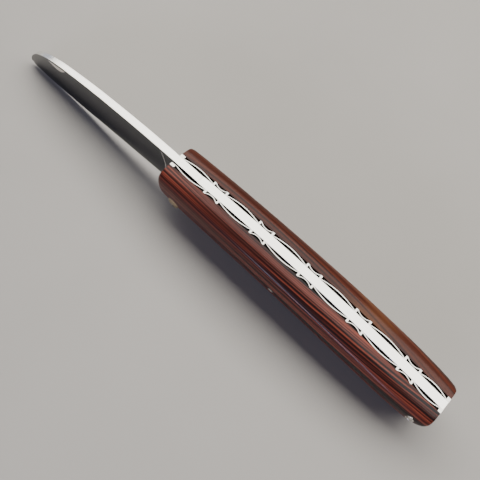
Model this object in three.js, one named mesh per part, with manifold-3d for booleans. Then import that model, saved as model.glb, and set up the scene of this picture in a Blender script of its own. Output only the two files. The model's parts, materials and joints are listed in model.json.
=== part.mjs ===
// A slip-joint folding pocket knife with filed liners and wood scales, standing spine up.
// Millimetres. The handle is drawn with its front top corner at x = 0 and its butt at
// x = HANDLE_LENGTH, the blade towards -x, the spine towards +z, the left side towards -y.
// The whole knife is then turned by REST_TILT, so that it stands on its blade and its butt.
import * as THREE from "three";
import { mergeVertices } from "three/addons/utils/BufferGeometryUtils.js";
import Module from "manifold-3d";

const wasm = await Module();
wasm.setup();

// Handle
const HANDLE_LENGTH = 110;
const BACK_ARCH = 3.1; // rise of the back above the line between its two ends
const SPRING_THICKNESS = 3.0;
const LINER_THICKNESS = 1.25;
const BUTT_BULGE = 0.2;
const REST_TILT = THREE.MathUtils.degToRad(1.95);

// The flat land that the butt stands on, along the resting surface
const LAND = { from: 86, to: 99, middle: 92.5, z: -17.6 };

// Pins: place in the side view, radius, and how far each domed end reaches from the middle
const PIVOT = { x: 7.5, z: -9.4, radius: 1.3, reach: 8.25, dome: 0.2 };
const SPRING_PIN = { x: 50.8, z: -4.4, radius: 1.15, reach: 8.9, dome: 0.2 };
const REAR_PIN = { x: 105, z: -4.3, radius: 0.9, reach: 8.65, dome: 0.15 };
const PIN_SIDES = 24;
const DOME_STEPS = 4;
const HOLE_GAP = 0.05;
const PIVOT_PLAY = 0.06;
const PIVOT_ROSETTE = { radius: 2.2, seat: 6.2, top: 8.35, dome: 0.2 };
const REAR_ROSETTE = { radius: 1.5, seat: 7.4, top: 8.8, dome: 0.15 };

// Blade and tang
const TANG_THICKNESS = 2.9;
const TANG_RADIUS = 6.7; // the round back of the tang, about the pivot
const SHOULDER_ANGLE = THREE.MathUtils.degToRad(70);
const TANG_FOOT_ANGLE = THREE.MathUtils.degToRad(-124); // where the tang's round back ends, below
const NOSE_END_ANGLE = THREE.MathUtils.degToRad(50); // how far the spring's nose hooks over the tang
const SPINE_JOINT_X = 10.9; // where the tang's shoulder meets the spring's nose
const MATING_GAP = 0.1;
const GRIND = {
  spineHalf: 1.42,
  edgeHalf: 0.16,
  height: 18,
  length: 90,
  clear: 6, // how far the cutter reaches past the blade
  start: { x: -4.6, z: 0.5 },
  droop: THREE.MathUtils.degToRad(8),
};
const NAIL_NICK = {
  x: -58.7,
  z: -9,
  radius: 17.2,
  width: 1.9,
  depth: 0.6,
  faceY: 1.3,
  slope: THREE.MathUtils.degToRad(13),
};

// Filework: full-width lands with long and short waves between them
const WAVE = { firstEnd: 15.2, pitch: 19.47, shortLength: 5.39, count: 5, landWidth: 0.7 };
const WAVE_ENDS = { front: 1.7, butt: 1.1 };
const WAVE_DEPTH = 0.8;
const RIDGE_WIDTH = 0.24;
const LONG_BOW = 0.93; // how far a long span's ridge stands out from the spring, at its middle
const SHORT_BOW = 0.78; // how far a short span's ridge dips in from the scale, at its middle

const BACK_STEPS = 24;
const BULGE_START = 95;
const BULGE_DROP = 11; // the butt is fullest half-way down this height
const BUTT_TOP = 10; // height of the butt above its rounded lower corner
const PAST = 0.3; // how far a cutter passes the face that it opens
const CLEAR = 12; // further out than any part of the handle

const side = { left: -1, right: 1 };
const outer = SPRING_THICKNESS / 2 + LINER_THICKNESS;

const steel = (color, roughness) =>
  new THREE.MeshStandardMaterial({ color, roughness, metalness: 1 });
const wood = (color) => new THREE.MeshStandardMaterial({ color, roughness: 0.25, metalness: 0 });

// ---------- outline of the handle ----------

const backZ = (x) => (4 * BACK_ARCH * x * (HANDLE_LENGTH - x)) / HANDLE_LENGTH ** 2;
const landZ = (x) => LAND.z + (x - LAND.middle) * Math.tan(REST_TILT);

const bellyCurve = new THREE.CatmullRomCurve3(
  [
    [0, -12.6], [0.8, -14.6], [3, -16], [8, -16.7], [24, -17.1], [45, -17.5], [66, -17.9],
    [78, -18], [LAND.from, landZ(LAND.from)],
  ].map(([x, z]) => new THREE.Vector3(x, 0, z)),
);
const buttCurve = new THREE.CatmullRomCurve3(
  [
    [LAND.to, landZ(LAND.to)], [103, -16.8], [106.6, -15.4], [109, -12.9], [HANDLE_LENGTH, -BUTT_TOP],
  ].map(([x, z]) => new THREE.Vector3(x, 0, z)),
);
const bellyLine = [...bellyCurve.getSpacedPoints(16), ...buttCurve.getSpacedPoints(8)];

const backLine = Array.from({ length: BACK_STEPS + 1 }, (_, i) => {
  const x = (HANDLE_LENGTH * i) / BACK_STEPS;
  return new THREE.Vector3(x, 0, backZ(x));
});

// The butt bulges a little between its upper and lower corners.
function bulged(x, z) {
  const near = Math.max(0, (x - BULGE_START) / (HANDLE_LENGTH - BULGE_START));
  const height = THREE.MathUtils.clamp(-z / BULGE_DROP, 0, 1);
  return x + BUTT_BULGE * near ** 2 * Math.sin(Math.PI * height);
}

const shapeOf = (points) => new THREE.Shape(points.map((p) => new THREE.Vector2(p.x, p.z)));

function handleOutline() {
  const steps = 8;
  const buttLine = Array.from({ length: steps - 1 }, (_, i) => {
    return new THREE.Vector3(HANDLE_LENGTH, 0, (-BUTT_TOP * (i + 1)) / steps);
  });
  const all = [...backLine, ...buttLine, ...[...bellyLine].reverse()];
  return shapeOf(all.map((p) => new THREE.Vector3(bulged(p.x, p.z), 0, p.z)));
}

// ---------- solids ----------

// Extrudes an outline drawn in (x, z) across the knife, from y = from to y = to.
function plate(shape, from, to) {
  const geometry = new THREE.ExtrudeGeometry(shape, { depth: to - from, bevelEnabled: false });
  geometry.rotateX(Math.PI / 2);
  geometry.translate(0, to, 0);
  return geometry;
}

function rod(pin, radius, from, to) {
  const geometry = new THREE.CylinderGeometry(radius, radius, to - from, PIN_SIDES);
  geometry.translate(pin.x, (from + to) / 2, pin.z);
  return geometry;
}

function solid(geometry) {
  const bare = geometry.clone();
  bare.deleteAttribute("normal");
  bare.deleteAttribute("uv");
  const merged = mergeVertices(bare, 1e-4);
  return new wasm.Manifold(
    new wasm.Mesh({
      numProp: 3,
      vertProperties: merged.attributes.position.array,
      triVerts: new Uint32Array(merged.index.array),
    }),
  );
}

function geometryOf(manifold) {
  const { vertProperties, triVerts, numProp } = manifold.getMesh();
  const corners = new Float32Array(triVerts.length * 3);
  triVerts.forEach((v, i) => {
    for (let k = 0; k < 3; k++) corners[3 * i + k] = vertProperties[numProp * v + k];
  });
  const geometry = new THREE.BufferGeometry();
  geometry.setAttribute("position", new THREE.BufferAttribute(corners, 3));
  geometry.computeVertexNormals();
  return geometry;
}

// ---------- pins ----------

const allPins = [PIVOT, SPRING_PIN, REAR_PIN];

function drill(body, pins, from, to) {
  const hole = (pin) => solid(rod(pin, pin.radius + HOLE_GAP, from, to));
  return pins.reduce((left, pin) => left.subtract(hole(pin)), body);
}

// A pin whose two ends are peened into low domes.
function peenedPin(pin) {
  const { reach, dome } = pin;
  const profile = [new THREE.Vector2(0, -reach - dome)];
  for (let i = 1; i <= DOME_STEPS; i++) {
    const turn = (Math.PI / 2 / DOME_STEPS) * i;
    profile.push(new THREE.Vector2(pin.radius * Math.sin(turn), -reach - dome * Math.cos(turn)));
  }
  const upper = [...profile].reverse().map((p) => new THREE.Vector2(p.x, -p.y));
  const geometry = new THREE.LatheGeometry([...profile, ...upper], PIN_SIDES);
  geometry.translate(pin.x, 0, pin.z);
  return geometry;
}

// A raised round washer let into the scale, on one side.
function rosette(pin, { radius, seat, top, dome }, direction) {
  const inner = pin.radius + HOLE_GAP;
  const profile = [new THREE.Vector2(inner, seat), new THREE.Vector2(radius, seat)];
  for (let i = 0; i <= DOME_STEPS; i++) {
    const turn = (Math.PI / 2 / DOME_STEPS) * i;
    const reach = inner + (radius - inner) * Math.cos(turn);
    profile.push(new THREE.Vector2(reach, top - dome + dome * Math.sin(turn)));
  }
  profile.push(new THREE.Vector2(inner, seat));
  const geometry = new THREE.LatheGeometry(profile, PIN_SIDES);
  if (direction < 0) geometry.rotateX(Math.PI);
  geometry.translate(pin.x, 0, pin.z);
  return geometry;
}

// ---------- liners ----------

// The spans between the full-width lands, as { from, to, long }.
function waveSpans() {
  const half = WAVE.landWidth / 2;
  const spans = [];
  let start = WAVE_ENDS.front;
  for (let i = 0; i < WAVE.count; i++) {
    const knot = WAVE.firstEnd + i * WAVE.pitch;
    spans.push({ from: start, to: knot - half, long: true });
    spans.push({ from: knot + half, to: knot + WAVE.shortLength - half, long: false });
    start = knot + WAVE.shortLength + half;
  }
  spans.push({ from: start, to: HANDLE_LENGTH - WAVE_ENDS.butt, long: true });
  return spans;
}

// The two pockets that leave one thin bowed ridge in a span, as (length, width) outlines.
// A long span's ridge starts at the spring and bows outwards; a short one's starts at the
// scale and dips inwards.
function pocketsIn(span) {
  const length = span.to - span.from;
  const bow = span.long ? LONG_BOW : SHORT_BOW;
  const steps = span.long ? 12 : 8;
  const arc = (offset) =>
    Array.from({ length: steps + 1 }, (_, i) => {
      const u = i / steps;
      return [u * length, offset + 4 * bow * u * (1 - u)];
    });
  const within = [...arc(0), [length, -PAST], [0, -PAST]];
  const beyond = [...arc(RIDGE_WIDTH), [length, LINER_THICKNESS + PAST], [0, LINER_THICKNESS + PAST]];
  return [within, beyond].map((outline) =>
    outline.map(([x, w]) => [x - length / 2, span.long ? w : LINER_THICKNESS - w]),
  );
}

function pocketCutter(outline, span, direction) {
  const middle = (span.from + span.to) / 2;
  const rise = (backZ(span.to) - backZ(span.from)) / (span.to - span.from);
  const points = outline.map(([x, w]) => new THREE.Vector2(x, direction * (SPRING_THICKNESS / 2 + w)));
  const settings = { depth: 3 * WAVE_DEPTH, bevelEnabled: false };
  const geometry = new THREE.ExtrudeGeometry(new THREE.Shape(points), settings);
  geometry.rotateY(-Math.atan(rise));
  geometry.translate(middle, 0, (backZ(span.from) + backZ(span.to)) / 2 - WAVE_DEPTH);
  return solid(geometry);
}

function liner(direction) {
  const faces = [direction * (SPRING_THICKNESS / 2), direction * outer].sort((a, b) => a - b);
  let body = solid(plate(handleOutline(), ...faces));
  for (const span of waveSpans())
    for (const outline of pocketsIn(span)) body = body.subtract(pocketCutter(outline, span, direction));
  return geometryOf(drill(body, allPins, faces[0] - 1, faces[1] + 1));
}

// ---------- scales ----------

// Half a cross-section, as shares of the scale's thickness and of the handle's height:
// full below its widest place in front, and slimmer from SECTION_BLEND rearwards.
const FRONT_SECTION = [
  [0, 0], [0.5, 0.026], [0.82, 0.09], [0.955, 0.17], [1, 0.28], [0.97, 0.45], [0.89, 0.61],
  [0.71, 0.78], [0.47, 0.92], [0.29, 1],
];
const REAR_SECTION = [
  [0, 0], [0.5, 0.026], [0.82, 0.09], [0.955, 0.17], [1, 0.28], [0.91, 0.45], [0.71, 0.61],
  [0.48, 0.78], [0.29, 0.92], [0.17, 1],
];
const SECTION_BLEND = 70;
const SECTION_STEPS = 18;

function sectionAt(x) {
  const share = Math.min(1, x / SECTION_BLEND);
  const points = FRONT_SECTION.map(([w, d], i) => {
    return new THREE.Vector3(THREE.MathUtils.lerp(w, REAR_SECTION[i][0], share), d, 0);
  });
  return new THREE.CatmullRomCurve3(points).getPoints(SECTION_STEPS);
}

// Thickness of one scale along the handle: nearly square at both ends, fullest towards the rear.
const thicknessCurve = new THREE.CatmullRomCurve3(
  [
    [0, 4.9], [0.4, 5.3], [1.6, 5.65], [10, 5.9], [36, 6.25], [56, 6.5], [76, 6.7], [91, 6.65],
    [100, 6.35], [106.5, 5.75], [108.6, 5.25], [109.6, 4.6], [HANDLE_LENGTH, 4],
  ].map(([x, y]) => new THREE.Vector3(x, y, 0)),
);

function thicknessAt(x) {
  const points = thicknessCurve.getPoints(120);
  const next = points.findIndex((p) => p.x >= x - 1e-6);
  if (next <= 0) return points[Math.max(0, next)].y;
  const [a, b] = [points[next - 1], points[next]];
  return a.y + ((b.y - a.y) * (x - a.x)) / (b.x - a.x);
}

function bellyZ(x) {
  const next = bellyLine.findIndex((p) => p.x >= x - 1e-6);
  if (next <= 0) return bellyLine[0].z;
  const [a, b] = [bellyLine[next - 1], bellyLine[next]];
  return a.z + ((b.z - a.z) * (x - a.x)) / (b.x - a.x || 1);
}

function scaleBlank(direction) {
  const rings = bellyLine.map(({ x }) => {
    const top = backZ(x);
    const height = top - bellyZ(x);
    const ring = sectionAt(x).map((p) => [p.x * thicknessAt(x), top - p.y * height]);
    ring.push([0, top - height]);
    return ring.map(([w, z]) => [bulged(x, z), direction * (outer + w), z]);
  });
  const size = rings[0].length;
  const position = rings.flat(2);
  const index = [];
  const triangle = (a, b, c) => index.push(...(direction > 0 ? [a, b, c] : [a, c, b]));
  for (let i = 0; i < rings.length - 1; i++)
    for (let j = 0; j < size; j++) {
      const [a, b] = [i * size + j, i * size + ((j + 1) % size)];
      triangle(a, a + size, b);
      triangle(b, a + size, b + size);
    }
  const last = (rings.length - 1) * size;
  for (let j = 1; j < size - 1; j++) {
    triangle(0, j, j + 1);
    triangle(last, last + j + 1, last + j);
  }
  const geometry = new THREE.BufferGeometry();
  geometry.setAttribute("position", new THREE.Float32BufferAttribute(position, 3));
  geometry.setIndex(index);
  return geometry;
}

function scale(direction) {
  const span = [direction * (outer - 1), direction * CLEAR].sort((a, b) => a - b);
  let body = drill(solid(scaleBlank(direction)), allPins, ...span);
  for (const [pin, washer] of [[PIVOT, PIVOT_ROSETTE], [REAR_PIN, REAR_ROSETTE]]) {
    const seat = [direction * washer.seat, direction * CLEAR].sort((a, b) => a - b);
    body = body.subtract(solid(rod(pin, washer.radius + HOLE_GAP, ...seat)));
  }
  return geometryOf(body);
}

// ---------- blade ----------

const around = (angle, radius) =>
  new THREE.Vector2(PIVOT.x + radius * Math.cos(angle), PIVOT.z + radius * Math.sin(angle));

function curveThrough(points, steps) {
  return new THREE.SplineCurve(points.map(([x, z]) => new THREE.Vector2(x, z))).getPoints(steps);
}

function bladeOutline() {
  const spine = curveThrough(
    [
      [SPINE_JOINT_X, backZ(SPINE_JOINT_X)], [0, 0.75], [-13, -0.05], [-25, -1.25], [-38.5, -3],
      [-53, -5.75], [-61, -7.9], [-67, -10.35], [-71.6, -13.2], [-75, -17.2],
    ],
    36,
  );
  const tip = curveThrough([[-75, -17.2], [-76.3, -20.1], [-76.1, -22], [-74.2, -22.8]], 8);
  const edge = curveThrough(
    [[-74.2, -22.8], [-64, landZ(-64)], [-48, -21.75], [-34, -20], [-20, -18.35], [-4.2, -16.5]],
    20,
  );
  // the notch behind the edge, and the kick that stops the closed blade against the spring
  const kick = [[-3.5, -15.6], [-2.9, -15.7], [-2.2, -16.9], [-1, -17.1]].map(
    ([x, z]) => new THREE.Vector2(x, z),
  );
  const steps = 18;
  const back = Array.from({ length: steps + 1 }, (_, i) =>
    around(THREE.MathUtils.lerp(TANG_FOOT_ANGLE, SHOULDER_ANGLE, i / steps), TANG_RADIUS),
  );
  return new THREE.Shape([...spine, ...tip.slice(1), ...edge.slice(1), ...kick, ...back]);
}

// One side's grind: a wedge that thins the blade evenly from its spine to its edge.
function grindCutter(direction) {
  const { spineHalf, edgeHalf, height, length, clear, start, droop } = GRIND;
  const profile = [
    [spineHalf, clear], [spineHalf, 0], [edgeHalf, -height], [edgeHalf, -height - clear],
    [clear, -height - clear], [clear, clear],
  ];
  const shape = new THREE.Shape(profile.map(([y, z]) => new THREE.Vector2(direction * y, z)));
  const geometry = new THREE.ExtrudeGeometry(shape, { depth: length, bevelEnabled: false });
  const alongX = new THREE.Matrix4().makeBasis(
    new THREE.Vector3(0, 1, 0), new THREE.Vector3(0, 0, 1), new THREE.Vector3(1, 0, 0),
  );
  geometry.applyMatrix4(alongX);
  geometry.translate(-length, 0, 0);
  geometry.rotateY(-droop);
  geometry.translate(start.x, 0, start.z);
  return solid(geometry);
}

// The crescent cut for a thumbnail, in the left face only: deepest along its straight upper edge.
function nailNickCutter() {
  const { x, z, radius, width, depth, faceY, slope } = NAIL_NICK;
  const geometry = new THREE.CylinderGeometry(radius, radius - depth, width, 3 * PIN_SIDES);
  geometry.rotateX(Math.PI / 2);
  geometry.rotateY(-slope);
  geometry.translate(x, side.left * (faceY + radius - depth), z);
  return solid(geometry);
}

function blade() {
  const half = TANG_THICKNESS / 2;
  const body = solid(plate(bladeOutline(), -half, half))
    .subtract(grindCutter(side.left))
    .subtract(grindCutter(side.right))
    .subtract(nailNickCutter())
    .subtract(solid(rod(PIVOT, PIVOT.radius + PIVOT_PLAY, -TANG_THICKNESS, TANG_THICKNESS)));
  return geometryOf(body);
}

// ---------- back spring ----------

function backSpring() {
  const steps = 4;
  const nose = Array.from({ length: steps + 1 }, (_, i) =>
    around(THREE.MathUtils.lerp(SHOULDER_ANGLE, NOSE_END_ANGLE, i / steps), TANG_RADIUS + MATING_GAP),
  );
  nose[0].x += MATING_GAP;
  // from the nose past the swelling around its pin to the butt, which it fills
  const underside = [
    [13.4, -4.1], [16, -3.5], [20, -3.3], [40, -2.7], [44, -3.6], [47.5, -5.4], [51, -6.3],
    [54.5, -5.4], [58, -3.6], [62, -2.7], [88, -2.7], [93, -3.8], [96, -6.5], [97.2, -10.5],
    [97.4, -15.2], [104, -14.6], [107.6, -12.8], [109.4, -10.2],
  ].map(([x, z]) => new THREE.Vector2(x, z));
  const butt = [-7.5, -5, -2.5, 0].map((z) => new THREE.Vector2(bulged(HANDLE_LENGTH, z), z));
  const top = backLine
    .filter((p) => p.x > SPINE_JOINT_X + 1 && p.x < HANDLE_LENGTH)
    .map((p) => new THREE.Vector2(p.x, p.z))
    .reverse();
  const frontX = SPINE_JOINT_X + MATING_GAP;
  const tip = new THREE.Vector2(frontX, backZ(frontX));
  const shape = new THREE.Shape([...nose, ...underside, ...butt, ...top, tip]);
  const half = SPRING_THICKNESS / 2;
  const body = solid(plate(shape, -half, half));
  return geometryOf(drill(body, [SPRING_PIN, REAR_PIN], -SPRING_THICKNESS, SPRING_THICKNESS));
}

// ---------- assembly ----------

const knife = new THREE.Group();
knife.rotation.y = REST_TILT;

function add(name, geometry, material) {
  const mesh = new THREE.Mesh(geometry, material);
  mesh.name = name;
  knife.add(mesh);
}

add("blade", blade(), steel(0xb9bcc2, 0.18));
add("back_spring", backSpring(), steel(0xd3d4d6, 0.25));
add("pivot_pin", peenedPin(PIVOT), steel(0xd8c9b0, 0.2));
add("spring_pin", peenedPin(SPRING_PIN), steel(0xd8c9b0, 0.25));
add("rear_pin", peenedPin(REAR_PIN), steel(0xd8c9b0, 0.25));
for (const [name, direction] of Object.entries(side)) {
  add(`liner_${name}`, liner(direction), steel(0xd0d2d6, 0.25));
  add(`scale_${name}`, scale(direction), wood(0x6b3220));
  add(`pivot_rosette_${name}`, rosette(PIVOT, PIVOT_ROSETTE, direction), steel(0xd8c9b0, 0.2));
  add(`rear_rosette_${name}`, rosette(REAR_PIN, REAR_ROSETTE, direction), steel(0xd8c9b0, 0.2));
}

// The origin is under the middle of the knife, on the surface that it stands on.
const box = new THREE.Box3().setFromObject(knife, true);
const middle = box.getCenter(new THREE.Vector3());
knife.position.set(-middle.x, -middle.y, -box.min.z);

const group = new THREE.Group();
group.add(knife);

export default group;
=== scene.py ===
"""Looks of a slip-joint folding pocket knife, open and standing spine up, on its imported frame."""
import json
import math

import bmesh
import bpy
import numpy as np
from mathutils import Matrix, Vector


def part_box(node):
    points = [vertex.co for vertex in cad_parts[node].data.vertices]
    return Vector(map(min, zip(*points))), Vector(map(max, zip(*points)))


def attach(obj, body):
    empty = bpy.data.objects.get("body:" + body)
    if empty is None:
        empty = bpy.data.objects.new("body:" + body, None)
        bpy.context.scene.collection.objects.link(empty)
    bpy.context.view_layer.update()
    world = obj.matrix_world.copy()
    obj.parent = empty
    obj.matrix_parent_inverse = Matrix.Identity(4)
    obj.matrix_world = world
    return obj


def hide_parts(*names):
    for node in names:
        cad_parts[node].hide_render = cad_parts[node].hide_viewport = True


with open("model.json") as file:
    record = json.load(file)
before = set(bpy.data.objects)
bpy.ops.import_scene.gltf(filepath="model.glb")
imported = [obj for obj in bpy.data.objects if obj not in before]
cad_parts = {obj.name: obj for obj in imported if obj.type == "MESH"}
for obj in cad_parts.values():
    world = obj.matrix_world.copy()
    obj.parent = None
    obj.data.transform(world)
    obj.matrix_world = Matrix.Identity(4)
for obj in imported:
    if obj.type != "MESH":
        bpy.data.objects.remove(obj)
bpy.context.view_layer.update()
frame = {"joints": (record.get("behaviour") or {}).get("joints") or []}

MM = 0.001

# The knife's own drawing frame, in millimetres: x = 0 at the handle's front and HANDLE_LENGTH at its
# butt, y = 0 in the middle of the blade, z = 0 on the line between the two ends of the handle's back.
HANDLE_LENGTH = 110.0
BACK_ARCH = 3.1
BUTT_BULGE = 0.2
BULGE_FROM_X, BULGE_HEIGHT = 95.0, 11.0
REST_TILT = math.radians(1.95)
PIVOT = (7.5, -9.4)
SPRING_PIN = (50.8, -4.4)
REAR_PIN = (105.0, -4.3)
LAND_Z, LAND_MIDDLE = -17.6, 92.5
LAND_FROM, LAND_TO = 86.0, 99.0

hinge = next(j for j in frame["joints"] if j["name"] == "blade_fold")
PIVOT_PLACE = Vector(hinge["pos_m"]) / MM

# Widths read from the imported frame.
SPRING_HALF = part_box("back_spring")[1][1] / MM
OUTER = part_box("liner_right")[1][1] / MM
TANG_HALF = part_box("blade")[1][1] / MM
LINER_WIDTH = OUTER - SPRING_HALF

WAVES = {"first_end": 15.2, "pitch": 19.47, "short": 5.39, "count": 5, "land": 0.66}
WAVE_FRONT, WAVE_BUTT = 1.7, 1.1
WAVE_DEPTH = 0.8
RIDGE_WIDTH = 0.24
LONG_BOW, SHORT_BOW = 0.93, 0.78


# ---------- places and curves ----------

def placed(points):
    """Millimetres in the drawing frame to metres in the row frame."""
    p = np.asarray(points, float)
    dx, dz = p[:, 0] - PIVOT[0], p[:, 2] - PIVOT[1]
    c, s = math.cos(REST_TILT), math.sin(REST_TILT)
    x = PIVOT_PLACE.x + c * dx + s * dz
    z = PIVOT_PLACE.z - s * dx + c * dz
    return np.stack([x, p[:, 1] + PIVOT_PLACE.y, z], axis=1) * MM


def smooth_curve(points):
    """A function of x through (x, value) points, with no overshoot between them."""
    xs, ys = np.array(points, float).T
    slopes = np.diff(ys) / np.diff(xs)
    tangents = np.empty_like(ys)
    tangents[0], tangents[-1] = slopes[0], slopes[-1]
    widths = np.diff(xs)
    for i in range(1, len(xs) - 1):
        a, b = slopes[i - 1], slopes[i]
        w1, w2 = 2 * widths[i] + widths[i - 1], widths[i] + 2 * widths[i - 1]
        tangents[i] = 0.0 if a * b <= 0 else (w1 + w2) / (w1 / a + w2 / b)

    def value(x):
        x = np.clip(x, xs[0], xs[-1])
        i = np.clip(np.searchsorted(xs, x) - 1, 0, len(xs) - 2)
        h = xs[i + 1] - xs[i]
        t = (x - xs[i]) / h
        return (
            ys[i] * (1 + 2 * t) * (1 - t) ** 2 + h * tangents[i] * t * (1 - t) ** 2
            + ys[i + 1] * t * t * (3 - 2 * t) + h * tangents[i + 1] * t * t * (t - 1)
        )

    return value


def path_through(points, count):
    """Evenly spaced points along a Catmull-Rom curve through (x, z) points."""
    p = np.array(points, float)
    p = np.vstack([2 * p[0] - p[1], p, 2 * p[-1] - p[-2]])
    fine = []
    for a, b, c, d in zip(p, p[1:], p[2:], p[3:]):
        for t in np.linspace(0, 1, 24, endpoint=False):
            fine.append(0.5 * (2 * b + (c - a) * t + (2 * a - 5 * b + 4 * c - d) * t * t
                               + (3 * b - a - 3 * c + d) * t ** 3))
    fine = np.array(fine + [p[-2]])
    along = np.r_[0, np.cumsum(np.linalg.norm(np.diff(fine, axis=0), axis=1))]
    steps = np.linspace(0, along[-1], count)
    return np.stack([np.interp(steps, along, fine[:, k]) for k in (0, 1)], axis=1)


def back_z(x):
    return 4 * BACK_ARCH * x * (HANDLE_LENGTH - x) / HANDLE_LENGTH ** 2


def land_z(x):
    return LAND_Z + (x - LAND_MIDDLE) * math.tan(REST_TILT)


belly_z = smooth_curve([
    (0, -12.6), (0.8, -14.7), (3, -16), (8, -16.7), (24, -17.1), (45, -17.5), (66, -17.9), (78, -18),
    (LAND_FROM, land_z(LAND_FROM)), (LAND_TO, land_z(LAND_TO)), (103, -16.8), (106.6, -15.4),
    (109, -12.9), (HANDLE_LENGTH, -10),
])
scale_thickness = smooth_curve([
    (0, 4.9), (0.4, 5.3), (1.6, 5.65), (10, 5.9), (36, 6.25), (56, 6.5), (76, 6.7), (91, 6.65),
    (100, 6.35), (106.5, 5.75), (108.6, 5.25), (109.6, 4.6), (HANDLE_LENGTH, 4),
])


def bulged(x, z):
    """The butt bulges a little between its corners."""
    near = np.clip((x - BULGE_FROM_X) / (HANDLE_LENGTH - BULGE_FROM_X), 0, None)
    height = np.clip(-z / BULGE_HEIGHT, 0, 1)
    return x + BUTT_BULGE * near ** 2 * np.sin(math.pi * height)


# ---------- meshes ----------

def make(name, verts_mm, faces, materials, face_slots=None):
    mesh = bpy.data.meshes.new(name)
    mesh.from_pydata(placed(verts_mm).tolist(), [], faces)
    bm = bmesh.new()
    bm.from_mesh(mesh)
    bmesh.ops.recalc_face_normals(bm, faces=bm.faces)
    bm.to_mesh(mesh)
    bm.free()
    for material in materials:
        mesh.materials.append(material)
    if face_slots is not None:
        mesh.polygons.foreach_set("material_index", face_slots)
    obj = bpy.data.objects.new(name, mesh)
    bpy.context.scene.collection.objects.link(obj)
    return obj


def apply_modifiers(obj):
    depsgraph = bpy.context.evaluated_depsgraph_get()
    mesh = bpy.data.meshes.new_from_object(obj.evaluated_get(depsgraph))
    obj.modifiers.clear()
    obj.data = mesh


def cut(obj, cutters):
    """Subtracts the cutters, whose material goes to the faces they leave."""
    for cutter in cutters:
        modifier = obj.modifiers.new("cut", "BOOLEAN")
        modifier.operation = "DIFFERENCE"
        modifier.solver = "EXACT"
        modifier.material_mode = "TRANSFER"
        modifier.object = cutter
    apply_modifiers(obj)
    for cutter in cutters:
        bpy.data.objects.remove(cutter)


def bevel(obj, width_mm, segments=2, angle=35):
    modifier = obj.modifiers.new("bevel", "BEVEL")
    modifier.width = width_mm * MM
    modifier.segments = segments
    modifier.limit_method = "ANGLE"
    modifier.angle_limit = math.radians(angle)
    modifier.use_clamp_overlap = True
    apply_modifiers(obj)


def smooth(obj, angle=30):
    obj.data.polygons.foreach_set("use_smooth", [True] * len(obj.data.polygons))
    obj.data.set_sharp_from_angle(angle=math.radians(angle))


def extruded_faces(count):
    """The walls and the two ends of a solid between two rings of count points."""
    walls = [[i, (i + 1) % count, count + (i + 1) % count, count + i] for i in range(count)]
    return walls + [list(range(count))[::-1], list(range(count, 2 * count))]


def prism(name, outline, low, high, materials):
    """An outline of (x, z) points extruded from low to high along y."""
    verts = [(x, level, z) for level in (low, high) for x, z in outline]
    return make(name, verts, extruded_faces(len(outline)), materials)


LATHE_SIDES = 64


def lathe(name, centre, profile, material):
    """A closed (radius, y) profile turned about a pin's axis."""
    count = len(profile)
    verts, faces = [], []
    for i in range(LATHE_SIDES):
        turn = 2 * math.pi * i / LATHE_SIDES
        c, s = math.cos(turn), math.sin(turn)
        verts += [(centre[0] + r * c, y, centre[1] + r * s) for r, y in profile]
    for i in range(LATHE_SIDES):
        a, b = i * count, (i + 1) % LATHE_SIDES * count
        for j in range(count):
            k = (j + 1) % count
            faces.append([a + j, b + j, b + k, a + k])
    obj = make(name, verts, faces, [material])
    bm = bmesh.new()
    bm.from_mesh(obj.data)
    bmesh.ops.remove_doubles(bm, verts=bm.verts, dist=1e-7)
    bmesh.ops.dissolve_degenerate(bm, edges=bm.edges, dist=1e-8)
    bmesh.ops.recalc_face_normals(bm, faces=bm.faces)
    bm.to_mesh(obj.data)
    bm.free()
    smooth(obj, 35)
    return obj


def finish_piece(obj, node, body):
    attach(obj, body)
    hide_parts(node)


# ---------- materials ----------

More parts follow.
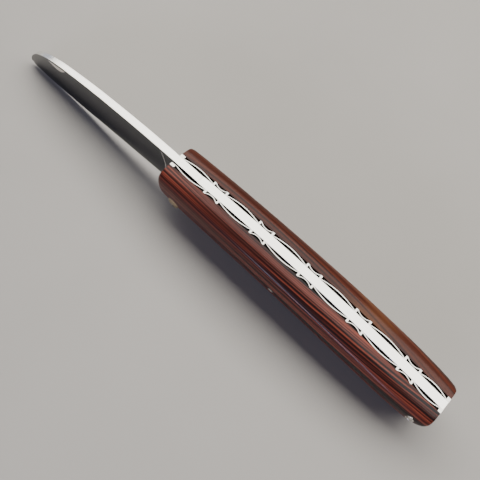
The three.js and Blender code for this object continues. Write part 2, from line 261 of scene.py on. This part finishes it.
class Nodes:
    """A material's node tree with short calls for the nodes used here."""

    def __init__(self, name):
        self.material = bpy.data.materials.new(name)
        self.material.use_nodes = True
        self.tree = self.material.node_tree
        self.shader = self.tree.nodes["Principled BSDF"]
        coordinates = self.tree.nodes.new("ShaderNodeTexCoord")
        self.place = coordinates.outputs["Object"]

    def link(self, source, target):
        self.tree.links.new(source, target)

    def set(self, **values):
        for name, value in values.items():
            self.shader.inputs[name.replace("_", " ")].default_value = value

    def stretched(self, scale, turn=(0, 0, 0), source=None):
        node = self.tree.nodes.new("ShaderNodeMapping")
        self.link(source or self.place, node.inputs["Vector"])
        node.inputs["Scale"].default_value = scale
        node.inputs["Rotation"].default_value = turn
        return node.outputs["Vector"]

    def noise(self, vector, scale=1.0, detail=3.0, roughness=0.55, distortion=0.0):
        node = self.tree.nodes.new("ShaderNodeTexNoise")
        self.link(vector, node.inputs["Vector"])
        for name, value in (("Scale", scale), ("Detail", detail), ("Roughness", roughness),
                            ("Distortion", distortion)):
            node.inputs[name].default_value = value
        return node.outputs["Fac"]

    def ramp(self, factor, stops):
        node = self.tree.nodes.new("ShaderNodeValToRGB")
        self.link(factor, node.inputs["Fac"])
        elements = node.color_ramp.elements
        while len(elements) < len(stops):
            elements.new(0.5)
        for element, (position, color) in zip(elements, stops):
            element.position = position
            element.color = (*color, 1)
        return node.outputs["Color"]

    def remap(self, value, low, high, to_low, to_high):
        node = self.tree.nodes.new("ShaderNodeMapRange")
        self.link(value, node.inputs["Value"])
        for name, number in (("From Min", low), ("From Max", high), ("To Min", to_low), ("To Max", to_high)):
            node.inputs[name].default_value = number
        return node.outputs["Result"]

    def mix(self, a, b, factor, blend="MIX"):
        node = self.tree.nodes.new("ShaderNodeMix")
        node.data_type = "RGBA"
        node.blend_type = blend
        for value, socket in ((factor, node.inputs["Factor"]), (a, node.inputs["A"]), (b, node.inputs["B"])):
            self._put(value, self._color_socket(node, socket))
        return self._color_out(node)

    def _color_socket(self, node, socket):
        if socket.name == "Factor":
            return next(s for s in node.inputs if s.name == "Factor" and s.type == "VALUE")
        return next(s for s in node.inputs if s.name == socket.name and s.type == "RGBA")

    def _color_out(self, node):
        return next(s for s in node.outputs if s.type == "RGBA")

    def _put(self, value, socket):
        if isinstance(value, (int, float)):
            socket.default_value = value
        elif isinstance(value, tuple):
            socket.default_value = (*value, 1)
        else:
            self.link(value, socket)

    def math(self, operation, a, b=0.0):
        node = self.tree.nodes.new("ShaderNodeMath")
        node.operation = operation
        self._put(a, node.inputs[0])
        self._put(b, node.inputs[1])
        return node.outputs["Value"]

    def bump(self, height, strength, distance_mm):
        node = self.tree.nodes.new("ShaderNodeBump")
        node.inputs["Strength"].default_value = strength
        node.inputs["Distance"].default_value = distance_mm * MM
        self.link(height, node.inputs["Height"])
        self.link(node.outputs["Normal"], self.shader.inputs["Normal"])


def metal(name, color, roughness, spread=0.08, brush=(60, 2500, 2500), bump=0.12, shade=0.12):
    """Metal with fine brushing that varies its roughness, brightness and relief.

    brush is how many noise cells there are in a metre along x, y and z, so the lines run along the
    axis with the smallest number. spread is how far the roughness varies either way, and shade the
    share by which the lines could darken at most.
    """
    n = Nodes(name)
    lines = n.noise(n.stretched(brush), 1.0, 4.0, 0.6)
    cloud = n.noise(n.stretched((140, 140, 140)), 1.0, 3.0)
    dark = tuple(c * (1 - shade) for c in color)
    n.link(n.mix(color, dark, n.math("MULTIPLY", lines, cloud)), n.shader.inputs["Base Color"])
    n.link(n.remap(lines, 0.3, 0.7, max(0.02, roughness - spread), roughness + spread),
           n.shader.inputs["Roughness"])
    n.set(Metallic=1.0)
    n.bump(lines, bump, 0.01)
    return n.material


def recess_metal(name):
    """Near-black floors and walls of the filed waves."""
    n = Nodes(name)
    cloud = n.noise(n.stretched((900, 900, 900)), 1.0, 4.0)
    n.link(n.ramp(cloud, [(0.3, (0.006, 0.005, 0.005)), (0.75, (0.03, 0.026, 0.022))]),
           n.shader.inputs["Base Color"])
    n.link(n.remap(cloud, 0.3, 0.7, 0.45, 0.75), n.shader.inputs["Roughness"])
    n.set(Metallic=0.6)
    n.bump(cloud, 0.3, 0.03)
    return n.material


LAYER_TILT = math.radians(45)
LAYER_WAVINESS = 0.9
GOLD_COLOR = (0.16, 0.058, 0.018)
PORE_COLOR = (0.008, 0.004, 0.003)


def rosewood(name, side, bands, stops, gold=None):
    """Striped rosewood: slanting layers that show as stripes along the scale, fibre and open pores.

    The layers rise towards the spine at 45 degrees, so that they cross the whole rounded face evenly.
    bands is how many noise cells there are across a metre of layers, and gold is where a paler
    streak runs, as (x, half length) in metres.
    """
    n = Nodes(name)
    turned = n.stretched((1, 1, 1), (-side * LAYER_TILT, 0, 0))
    drift = n.noise(n.stretched((42, 60, 60), source=turned), 1.0, 2.0)
    shift = n.tree.nodes.new("ShaderNodeVectorMath")
    shift.operation = "MULTIPLY_ADD"
    n.link(drift, shift.inputs[0])
    shift.inputs[1].default_value = (0.0, 0.0, LAYER_WAVINESS)
    n.link(n.stretched((5, 0, bands), source=turned), shift.inputs[2])
    stripe = n.ramp(n.noise(shift.outputs["Vector"], 1.0, 3.0, 0.72), stops)
    fine = n.noise(n.stretched((40, 0, 4200), source=turned), 1.0, 3.0, 0.6)
    fibre = n.ramp(fine, [(0.36, (0.5, 0.44, 0.46)), (0.62, (1.2, 1.16, 1.12))])
    striped = n.mix(stripe, fibre, 0.7, "MULTIPLY")
    if gold:
        striped = n.mix(striped, GOLD_COLOR, streak(n, turned, gold))
    pores = n.noise(n.stretched((260, 5000, 8000), source=turned), 1.0, 2.0, 0.5)
    pore_mask = n.remap(pores, 0.27, 0.36, 1.0, 0.0)
    colored = n.mix(striped, PORE_COLOR, n.math("MULTIPLY", pore_mask, 0.6))
    n.link(colored, n.shader.inputs["Base Color"])
    n.link(n.remap(fine, 0.3, 0.7, 0.36, 0.52), n.shader.inputs["Roughness"])
    n.set(Specular_IOR_Level=0.15, Coat_Weight=0.2, Coat_Roughness=0.14)
    n.bump(n.math("SUBTRACT", fine, n.math("MULTIPLY", pore_mask, 0.8)), 0.12, 0.02)
    return n.material


def streak(n, turned, gold):
    """How strongly the paler streak shows: full at its middle and nothing past its half length."""
    middle, half = gold
    apart = n.tree.nodes.new("ShaderNodeSeparateXYZ")
    n.link(n.place, apart.inputs["Vector"])
    away = n.math("ABSOLUTE", n.math("SUBTRACT", apart.outputs["X"], middle))
    near = n.remap(away, half * 0.3, half, 1.0, 0.0)
    patch = n.noise(n.stretched((20, 0, 420), source=turned), 1.0, 2.0)
    return n.math("MULTIPLY", near, n.remap(patch, 0.48, 0.62, 0.0, 0.7))


SPRING_STEEL = metal("spring_satin_steel", (0.86, 0.845, 0.8), 0.2, 0.05, bump=0.04, shade=0.08)
LINER_STEEL = metal("liner_polished_steel", (0.66, 0.645, 0.61), 0.16, 0.04, bump=0.03, shade=0.06)
NEAR_BLACK_RECESS = recess_metal("near_black_recess")
# The blade's sides get a base colour far darker than bare steel, a painted dark reflection of the shaded
# floor beside the blade.
BLADE_FACE = metal("blade_steel_painted_dark_reflection", (0.14, 0.14, 0.143), 0.16, 0.05, (45, 1800, 1800), 0.02, 0.5)
BLADE_SPINE = metal("blade_satin_spine", (0.86, 0.845, 0.8), 0.24, 0.03, (300, 60, 300), 0.002, 0.06)
BLADE_EDGE = metal("blade_ground_edge", (0.72, 0.72, 0.72), 0.2, 0.06, (3000, 800, 800), 0.06)
PIN_STEEL = metal("pin_polished_steel", (0.7, 0.68, 0.64), 0.16, 0.04, (700, 700, 700), 0.04)
PIVOT_METAL = metal("pivot_nickel_silver", (0.46, 0.36, 0.24), 0.12, 0.04, (700, 700, 700), 0.04)
# Satin steel for the nail nick's cut faces. The same bright material paints a highlight on a band of faces
# along the plunge line.
NICK_SATIN_AND_PLUNGE_HIGHLIGHT = metal("nick_satin_and_painted_plunge_highlight", (0.86, 0.82, 0.76), 0.42, 0.05, bump=0.03)
WOOD_LEFT = rosewood("rosewood_striped", -1, 1600, [
    (0.42, (0.008, 0.004, 0.005)), (0.47, (0.035, 0.01, 0.008)), (0.51, (0.12, 0.025, 0.016)),
    (0.62, (0.24, 0.056, 0.034))])
WOOD_RIGHT = rosewood("rosewood_plain", 1, 1100, [
    (0.36, (0.018, 0.005, 0.003)), (0.47, (0.058, 0.014, 0.008)), (0.62, (0.12, 0.029, 0.015))],
    gold=(0.0617, 0.014))


# ---------- liners ----------

def handle_outline(back_steps=140, belly_steps=150):
    back_x = np.linspace(0, HANDLE_LENGTH, back_steps)
    top = np.stack([back_x, back_z(back_x)], axis=1)
    butt = np.array([(HANDLE_LENGTH, z) for z in np.linspace(0, -10, 14)[1:-1]])
    u = np.linspace(0, 1, belly_steps)
    ends = 0.5 - 0.5 * np.cos(math.pi * u)
    belly_x = (HANDLE_LENGTH * ends)[::-1]
    belly = np.stack([belly_x, belly_z(belly_x)], axis=1)
    around = np.vstack([top, butt, belly])
    return np.stack([bulged(around[:, 0], around[:, 1]), around[:, 1]], axis=1)


def wave_spans():
    """The stretches between the full-width lands, as (from, to, is_long)."""
    half = WAVES["land"] / 2
    spans, start = [], WAVE_FRONT
    for i in range(WAVES["count"]):
        knot = WAVES["first_end"] + i * WAVES["pitch"]
        spans.append((start, knot - half, True))
        spans.append((knot + half, knot + WAVES["short"] - half, False))
        start = knot + WAVES["short"] + half
    spans.append((start, HANDLE_LENGTH - WAVE_BUTT, True))
    return spans


def pocket_outlines(start, end, is_long):
    """Outlines of the two pockets that leave a thin bowed ridge in one span, as (x, width) points.

    A long span's ridge starts at the spring and bows outwards; a short one's starts at the
    scale and dips inwards.
    """
    length, past = end - start, 0.3
    bow = LONG_BOW if is_long else SHORT_BOW
    u = np.linspace(0, 1, 48 if is_long else 26)
    arc = [(x * length, 4 * bow * x * (1 - x)) for x in u]
    within = arc + [(length, -past), (0, -past)]
    beyond = [(x, w + RIDGE_WIDTH) for x, w in arc] + [(length, LINER_WIDTH + past), (0, LINER_WIDTH + past)]
    flip = (lambda w: w) if is_long else (lambda w: LINER_WIDTH - w)
    return [[(x - length / 2, flip(w)) for x, w in outline] for outline in (within, beyond)]


def pocket_cutters(side):
    cutters = []
    for start, end, is_long in wave_spans():
        rise = (back_z(end) - back_z(start)) / (end - start)
        turn = math.atan(rise)
        middle_x, middle_z = (start + end) / 2, (back_z(start) + back_z(end)) / 2
        for outline in pocket_outlines(start, end, is_long):
            verts = []
            for level in (-WAVE_DEPTH, 2.0):
                for x, w in outline:
                    verts.append((middle_x + x * math.cos(turn) - level * math.sin(turn),
                                  side * (SPRING_HALF + w),
                                  middle_z + x * math.sin(turn) + level * math.cos(turn)))
            cutters.append(make("pocket", verts, extruded_faces(len(outline)), [NEAR_BLACK_RECESS]))
    return cutters


def liner(name, side):
    low, high = sorted((side * SPRING_HALF, side * OUTER))
    obj = prism(name, handle_outline(), low, high, [LINER_STEEL])
    cut(obj, pocket_cutters(side))
    bevel(obj, 0.06, 2, 50)
    smooth(obj, 20)
    finish_piece(obj, name, "handle")


# ---------- scales ----------

# Half a cross-section, as shares of the scale's thickness and of the handle's height.
FRONT_SECTION = [(0, 0), (0.5, 0.026), (0.82, 0.09), (0.955, 0.17), (1, 0.28), (0.97, 0.45),
                 (0.89, 0.61), (0.71, 0.78), (0.47, 0.92), (0.29, 1)]
REAR_SECTION = [(0, 0), (0.5, 0.026), (0.82, 0.09), (0.955, 0.17), (1, 0.28), (0.91, 0.45),
                (0.71, 0.61), (0.48, 0.78), (0.29, 0.92), (0.17, 1)]
SECTION_BLEND = 70.0
SECTION_POINTS, INNER_POINTS = 60, 12
# The stations along a scale are crowded towards its ends, apart from EVEN_SHARE of their spacing.
STATIONS = 240
EVEN_SHARE = 0.35


def scale(name, side, material):
    front, rear = path_through(FRONT_SECTION, SECTION_POINTS), path_through(REAR_SECTION, SECTION_POINTS)
    u = np.linspace(0, 1, STATIONS)
    crowded = 0.5 - 0.5 * np.cos(math.pi * u)
    stations = HANDLE_LENGTH * (EVEN_SHARE * u + (1 - EVEN_SHARE) * crowded)
    rings = []
    for x in stations:
        top, thick = back_z(x), scale_thickness(x)
        height = top - belly_z(x)
        share = min(1.0, x / SECTION_BLEND)
        section = front * (1 - share) + rear * share
        outer = [(OUTER + w * thick, top - d * height) for w, d in section]
        inner = [(OUTER, top - d * height) for d in np.linspace(1, 0, INNER_POINTS)[:-1]]
        rings.append([(bulged(x, z), side * y, z) for y, z in outer + inner])
    size = len(rings[0])
    verts = [v for ring in rings for v in ring]
    faces = []
    for i in range(len(rings) - 1):
        for j in range(size):
            k = (j + 1) % size
            faces.append([i * size + j, (i + 1) * size + j, (i + 1) * size + k, i * size + k])
    faces += [list(range(size)), list(range((len(rings) - 1) * size, len(rings) * size))[::-1]]
    obj = make(name, verts, faces, [material])
    bevel(obj, 0.18, 3, 55)
    smooth(obj, 40)
    finish_piece(obj, name, "handle")


# ---------- back spring ----------

def around_pivot(angle, radius):
    return (PIVOT[0] + radius * math.cos(angle), PIVOT[1] + radius * math.sin(angle))


TANG_RADIUS = 6.7
SHOULDER = math.radians(70)
JOINT_X = 10.9
MATING_GAP = 0.03


def back_spring():
    nose = [around_pivot(a, TANG_RADIUS + MATING_GAP) for a in np.linspace(SHOULDER, math.radians(50), 10)]
    nose[0] = (nose[0][0] + MATING_GAP, nose[0][1])
    under = path_through([(13.4, -4.1), (16, -3.5), (28, -3.1), (40, -2.7), (44, -3.6), (47.5, -5.4),
                          (51, -6.3), (54.5, -5.4), (58, -3.6), (62, -2.7), (75, -2.7), (88, -2.7),
                          (93, -3.8), (96, -6.5), (97.2, -10.5), (97.4, -15.2)], 130)
    block = path_through([(97.4, -15.2), (104, -14.6), (107.6, -12.8), (109.4, -10.2), (110, -8.6)], 24)[1:]
    butt = [(HANDLE_LENGTH, z) for z in np.linspace(-8, 0, 12)]
    top_x = np.linspace(HANDLE_LENGTH, JOINT_X + MATING_GAP, 130)[1:]
    top = np.stack([top_x, back_z(top_x)], axis=1)
    outline = np.vstack([nose, under, block, butt, top])
    outline = np.stack([bulged(outline[:, 0], outline[:, 1]), outline[:, 1]], axis=1)
    obj = prism("back_spring", outline, -SPRING_HALF, SPRING_HALF, [SPRING_STEEL])
    bevel(obj, 0.05, 1, 40)
    smooth(obj, 30)
    finish_piece(obj, "back_spring", "handle")


# ---------- blade ----------

TIP = (-76.2, -21.2)
SPINE = [(JOINT_X, back_z(JOINT_X)), (0, 0.75), (-13, -0.05), (-25, -1.25), (-38.5, -3), (-53, -5.75),
         (-61, -7.9), (-67, -10.35), (-71.6, -13.2), (-75, -17.2), (-76, -19.3), TIP]
EDGE = [(-4.2, -16.5), (-20, -18.35), (-34, -20), (-48, -21.75), (-64, land_z(-64)), (-74.2, -22.8),
        (-75.75, -22.3), TIP]
spine_half = smooth_curve([(-77, 0.6), (-72, 0.9), (-66, 1.08), (-60, 1.16), (-52, 1.25), (-38, 1.35),
                           (-8, TANG_HALF), (12, TANG_HALF)])


PLUNGE_WIDTH = 1.5
# The painted highlight where the grind begins, a band of bright satin material: its part of PLUNGE_WIDTH,
# and its rows from the spine.
PLUNGE_HIGHLIGHT_SHARES = (0.3, 0.7)
PLUNGE_HIGHLIGHT_ROWS = (3, 45)

# The grind would leave GROUND_HALF at the edge. A power just below 1 makes its faces slightly hollow.
GROUND_HALF, GRIND_POWER = 0.24, 0.96
BEVEL_SHARE, BEVEL_HALF, EDGE_HALF = 0.962, 0.255, 0.01
SPINE_CHAMFER, THINNEST_SPINE = 0.12, 0.05

# Shares of the way from the spine to the edge, and the first row of faces with the edge's material.
ROWS = np.r_[0, 0.006, np.linspace(0.02, BEVEL_SHARE, 44), np.linspace(BEVEL_SHARE, 1, 5)[1:]]
EDGE_ROW = 46

# The head is the tang and the start of the blade, as far as HEAD_END.
HEAD_COLUMNS, BODY_COLUMNS = 70, 290
HEAD_END = -4.8
PATH_POINTS = 900
CROWDING = 0.06
KICK = [(-1, -17.1), (-1.7, -17.05), (-2.2, -16.9), (-2.7, -16.1), (-3.05, -15.65), (-3.5, -15.6),
        (-3.95, -16.1), (-4.2, -16.5)]


def plunge_x(z):
    """Where the flat tang begins to give way to the ground face, at each height."""
    return np.minimum(-4.5 - 0.33 * z, -2.6)


def half_thickness(x, z, share):
    """Half the blade's thickness, share being 0 at the spine and 1 at the edge."""
    ground = np.clip((plunge_x(z) - x) / PLUNGE_WIDTH, 0, 1)
    ground = ground ** 2 * (3 - 2 * ground)
    face = spine_half(x) + (GROUND_HALF - spine_half(x)) * share ** GRIND_POWER
    into_bevel = (share - BEVEL_SHARE) / (1 - BEVEL_SHARE)
    bevelled = np.where(into_bevel > 0, BEVEL_HALF - into_bevel * (BEVEL_HALF - EDGE_HALF), face)
    return TANG_HALF * (1 - ground) + bevelled * ground


# Faces in this band get bright satin material, a painted highlight along the plunge line.
def on_painted_plunge_highlight(point):
    into = (plunge_x(point[2]) - point[0]) / PLUNGE_WIDTH
    return PLUNGE_HIGHLIGHT_SHARES[0] < into < PLUNGE_HIGHLIGHT_SHARES[1]


def blade_slot(row, point):
    """A face's material: 0 the sides, 1 the spine and the tang's upper outline, 2 the edge and the
    tang's lower outline, 3 the line where the grind begins, a band of bright material that paints its
    highlight."""
    if row <= 0:
        return 1
    if PLUNGE_HIGHLIGHT_ROWS[0] <= row <= PLUNGE_HIGHLIGHT_ROWS[1] and on_painted_plunge_highlight(point):
        return 3
    return 2 if row >= EDGE_ROW else 0


def resampled(path, shares):
    """Points at the given shares of the way along a path of evenly spaced points."""
    even = np.linspace(0, 1, len(path))
    return np.stack([np.interp(shares, even, path[:, k]) for k in (0, 1)], axis=1)


def blade_outlines():
    """Matching (x, z) points along the upper and the lower outline, from the tang to the tip."""
    arc_up = [around_pivot(a, TANG_RADIUS) for a in np.linspace(0, SHOULDER, 18)]
    shoulder = [tuple(p) for p in np.linspace(arc_up[-1], SPINE[0], 6)[1:]]
    spine = path_through(SPINE, PATH_POINTS)
    split = np.argmin(np.abs(spine[:, 0] - HEAD_END))
    lead_points = HEAD_COLUMNS - len(arc_up) - len(shoulder)
    lead = spine[np.linspace(0, split, lead_points + 1).astype(int)][1:]
    arc_down = [around_pivot(a, TANG_RADIUS) for a in np.linspace(0, math.radians(-124), 24)]
    line_points = HEAD_COLUMNS - len(arc_down) - len(KICK)
    line = [tuple(p) for p in np.linspace(arc_down[-1], KICK[0], line_points + 2)[1:-1]]
    u = np.linspace(0, 1, BODY_COLUMNS + 1)[1:]
    shares = u + CROWDING * np.sin(2 * math.pi * u) / math.pi
    top = np.vstack([arc_up, shoulder, lead, resampled(spine[split:], shares)])
    bottom = np.vstack([arc_down, line, KICK, resampled(path_through(EDGE, PATH_POINTS), shares)])
    return top, bottom


def blade_columns():
    """Rings of points across the blade, each down the left face and up the right one."""
    columns = []
    for a, b in zip(*(outline[:-1] for outline in blade_outlines())):
        points = a + (b - a) * ROWS[:, None]
        half = half_thickness(points[:, 0], points[:, 1], ROWS)
        half[0] = max(half[0] - SPINE_CHAMFER, THINNEST_SPINE)
        left = [(x, -h, z) for (x, z), h in zip(points, half)]
        right = [(x, h, z) for (x, z), h in zip(points, half)][::-1]
        columns.append(left + right)
    return columns


def blade():
    columns = blade_columns()
    size = len(columns[0])
    verts = [v for column in columns for v in column] + [(TIP[0], 0, TIP[1])]
    faces, slots = [], []
    for i in range(len(columns) - 1):
        for j in range(size):
            k = (j + 1) % size
            faces.append([i * size + j, (i + 1) * size + j, (i + 1) * size + k, i * size + k])
            row = min(j, size - 2 - j)
            slots.append(blade_slot(row, columns[i][j]))
    faces.append(list(range(size))[::-1])
    slots.append(0)
    last = (len(columns) - 1) * size
    for j in range(size):
        faces.append([last + j, len(verts) - 1, last + (j + 1) % size])
        slots.append(1)
    obj = make("blade", verts, faces, [BLADE_FACE, BLADE_SPINE, BLADE_EDGE, NICK_SATIN_AND_PLUNGE_HIGHLIGHT], slots)
    cut(obj, [nail_nick(), pivot_hole()])
    smooth(obj, 24)
    finish_piece(obj, "blade", "blade")


def nail_nick():
    """A thin cone that leaves a long crescent in the left face, deepest along its straight upper edge."""
    radius, width, depth, face_y, slope = 17.2, 1.9, 0.6, 0.98, math.radians(16)
    centre = Vector((-58.7, -(face_y + radius - depth), -9.1))
    along = Vector((math.cos(slope), 0, math.sin(slope)))
    across = Vector((-math.sin(slope), 0, math.cos(slope)))
    out = Vector((0, 1, 0))
    sides = 220
    verts = []
    for level, r in ((-width / 2, radius - depth), (width / 2, radius)):
        for i in range(sides):
            turn = 2 * math.pi * i / sides
            verts.append(centre + along * (r * math.cos(turn)) + out * (r * math.sin(turn)) + across * level)
    return make("nick", [tuple(v) for v in verts], extruded_faces(sides), [NICK_SATIN_AND_PLUNGE_HIGHLIGHT])


HOLE_RADIUS = 1.36


def pivot_hole():
    ring = [around_pivot(t, HOLE_RADIUS) for t in np.linspace(0, 2 * math.pi, 65)[:-1]]
    return prism("hole", ring, -2 * TANG_HALF, 2 * TANG_HALF, [BLADE_SPINE])


# ---------- pins ----------

def dome(radius, low, high, steps=12):
    """(radius, y) points of a low dome from its rim to its middle."""
    turns = np.linspace(0, math.pi / 2, steps)
    return [(radius * math.cos(t), low + (high - low) * math.sin(t)) for t in turns]


def pin(name, centre, radius, rim, top, material=PIN_STEEL):
    upper = dome(radius, rim, top)
    lower = [(r, -y) for r, y in upper[::-1]]
    obj = lathe(name, centre, upper + [(0, 0)] + lower, material)
    finish_piece(obj, name, "handle")


def rosette(name, centre, side, inner, outer, seat, rim, top, material=PIN_STEEL):
    """A raised washer: a rounded outer wall, a crowned face and a fine groove round the pin."""
    face = [(inner + (outer - inner) * math.cos(t), rim + (top - rim) * math.sin(t))
            for t in np.linspace(0, math.pi / 2, 14)]
    groove = [(inner + 0.05, top - 0.01), (inner, top - 0.07)]
    profile = [(inner, seat), (outer, seat)] + face[:-1] + groove
    if side < 0:
        profile = [(r, -y) for r, y in profile][::-1]
    obj = lathe(name, centre, profile, material)
    finish_piece(obj, name, "handle")


def pins():
    pin("pivot_pin", PIVOT, radius=1.3, rim=8.25, top=8.45, material=PIVOT_METAL)
    pin("spring_pin", SPRING_PIN, radius=1.15, rim=8.9, top=9.1)
    pin("rear_pin", REAR_PIN, radius=0.9, rim=8.65, top=8.8)
    for label, side in (("left", -1), ("right", 1)):
        rosette(f"pivot_rosette_{label}", PIVOT, side, inner=1.32, outer=2.2, seat=6.2, rim=8.12,
                top=8.35, material=PIVOT_METAL)
        rosette(f"rear_rosette_{label}", REAR_PIN, side, inner=0.92, outer=1.5, seat=7.4, rim=8.62,
                top=8.8)


# ---------- floor, light, camera ----------

FLOOR_SIZE = 3.0


def stage_floor():
    bpy.ops.mesh.primitive_plane_add(size=FLOOR_SIZE)
    floor = bpy.context.object
    floor.name = "floor"
    n = Nodes("pale_floor")
    cloud = n.noise(n.stretched((6, 6, 6)), 1.0, 5.0)
    n.link(n.ramp(cloud, [(0.35, (0.41, 0.39, 0.36)), (0.65, (0.45, 0.43, 0.4))]),
           n.shader.inputs["Base Color"])
    n.set(Roughness=0.7)
    floor.data.materials.append(n.material)


def area_light(name, place, target, size, power, color):
    data = bpy.data.lights.new(name, "AREA")
    data.shape = "RECTANGLE"
    data.size, data.size_y = size
    data.energy = power
    data.color = color
    obj = bpy.data.objects.new(name, data)
    bpy.context.scene.collection.objects.link(obj)
    obj.location = place
    obj.rotation_euler = (Vector(target) - Vector(place)).to_track_quat("-Z", "Y").to_euler()


WORLD_COLOR, WORLD_STRENGTH = (0.8, 0.84, 0.9, 1), 0.06


def lights():
    area_light("overhead", (-0.35, 0.3, 0.66), (-0.35, 0.0, 0.01), (2.8, 0.6), 22.0, (1.0, 0.975, 0.93))
    area_light("window", (0.08, -0.86, 0.26), (0.08, 0.0, 0.02), (0.5, 0.12), 3.2, (0.7, 0.72, 1.0))
    area_light("horizon", (-1.5, 0.5, 0.2), (-0.06, 0.0, 0.01), (1.1, 0.4), 0.9, (0.74, 0.8, 1.0))
    world = bpy.data.worlds.new("studio")
    world.use_nodes = True
    background = world.node_tree.nodes["Background"]
    background.inputs["Color"].default_value = WORLD_COLOR
    background.inputs["Strength"].default_value = WORLD_STRENGTH
    bpy.context.scene.world = world


CAMERA_PLACE, CAMERA_TARGET = map(Vector, placed([(70.45, -74.51, 166.13), (31.27, -0.68, -11.68)]))
CAMERA_ROLL = math.radians(-13.265)
LENS_MM, SENSOR_MM = 45, 36


def camera():
    data = bpy.data.cameras.new("camera")
    data.lens = LENS_MM
    data.sensor_width = SENSOR_MM
    data.clip_start = 0.01
    obj = bpy.data.objects.new("camera", data)
    bpy.context.scene.collection.objects.link(obj)
    forward = (CAMERA_TARGET - CAMERA_PLACE).normalized()
    level_up = (Vector((0, 0, 1)) - forward * forward.z).normalized()
    level_right = forward.cross(level_up)
    up = level_up * math.cos(CAMERA_ROLL) + level_right * math.sin(CAMERA_ROLL)
    right = forward.cross(up)
    turn = Matrix((right, up, -forward)).transposed().to_4x4()
    obj.matrix_world = Matrix.Translation(CAMERA_PLACE) @ turn
    bpy.context.scene.camera = obj


# ---------- the scene ----------

stage_floor()
lights()
camera()
for label, side, material in (("left", -1, WOOD_LEFT), ("right", 1, WOOD_RIGHT)):
    liner(f"liner_{label}", side)
    scale(f"scale_{label}", side, material)
back_spring()
blade()
pins()
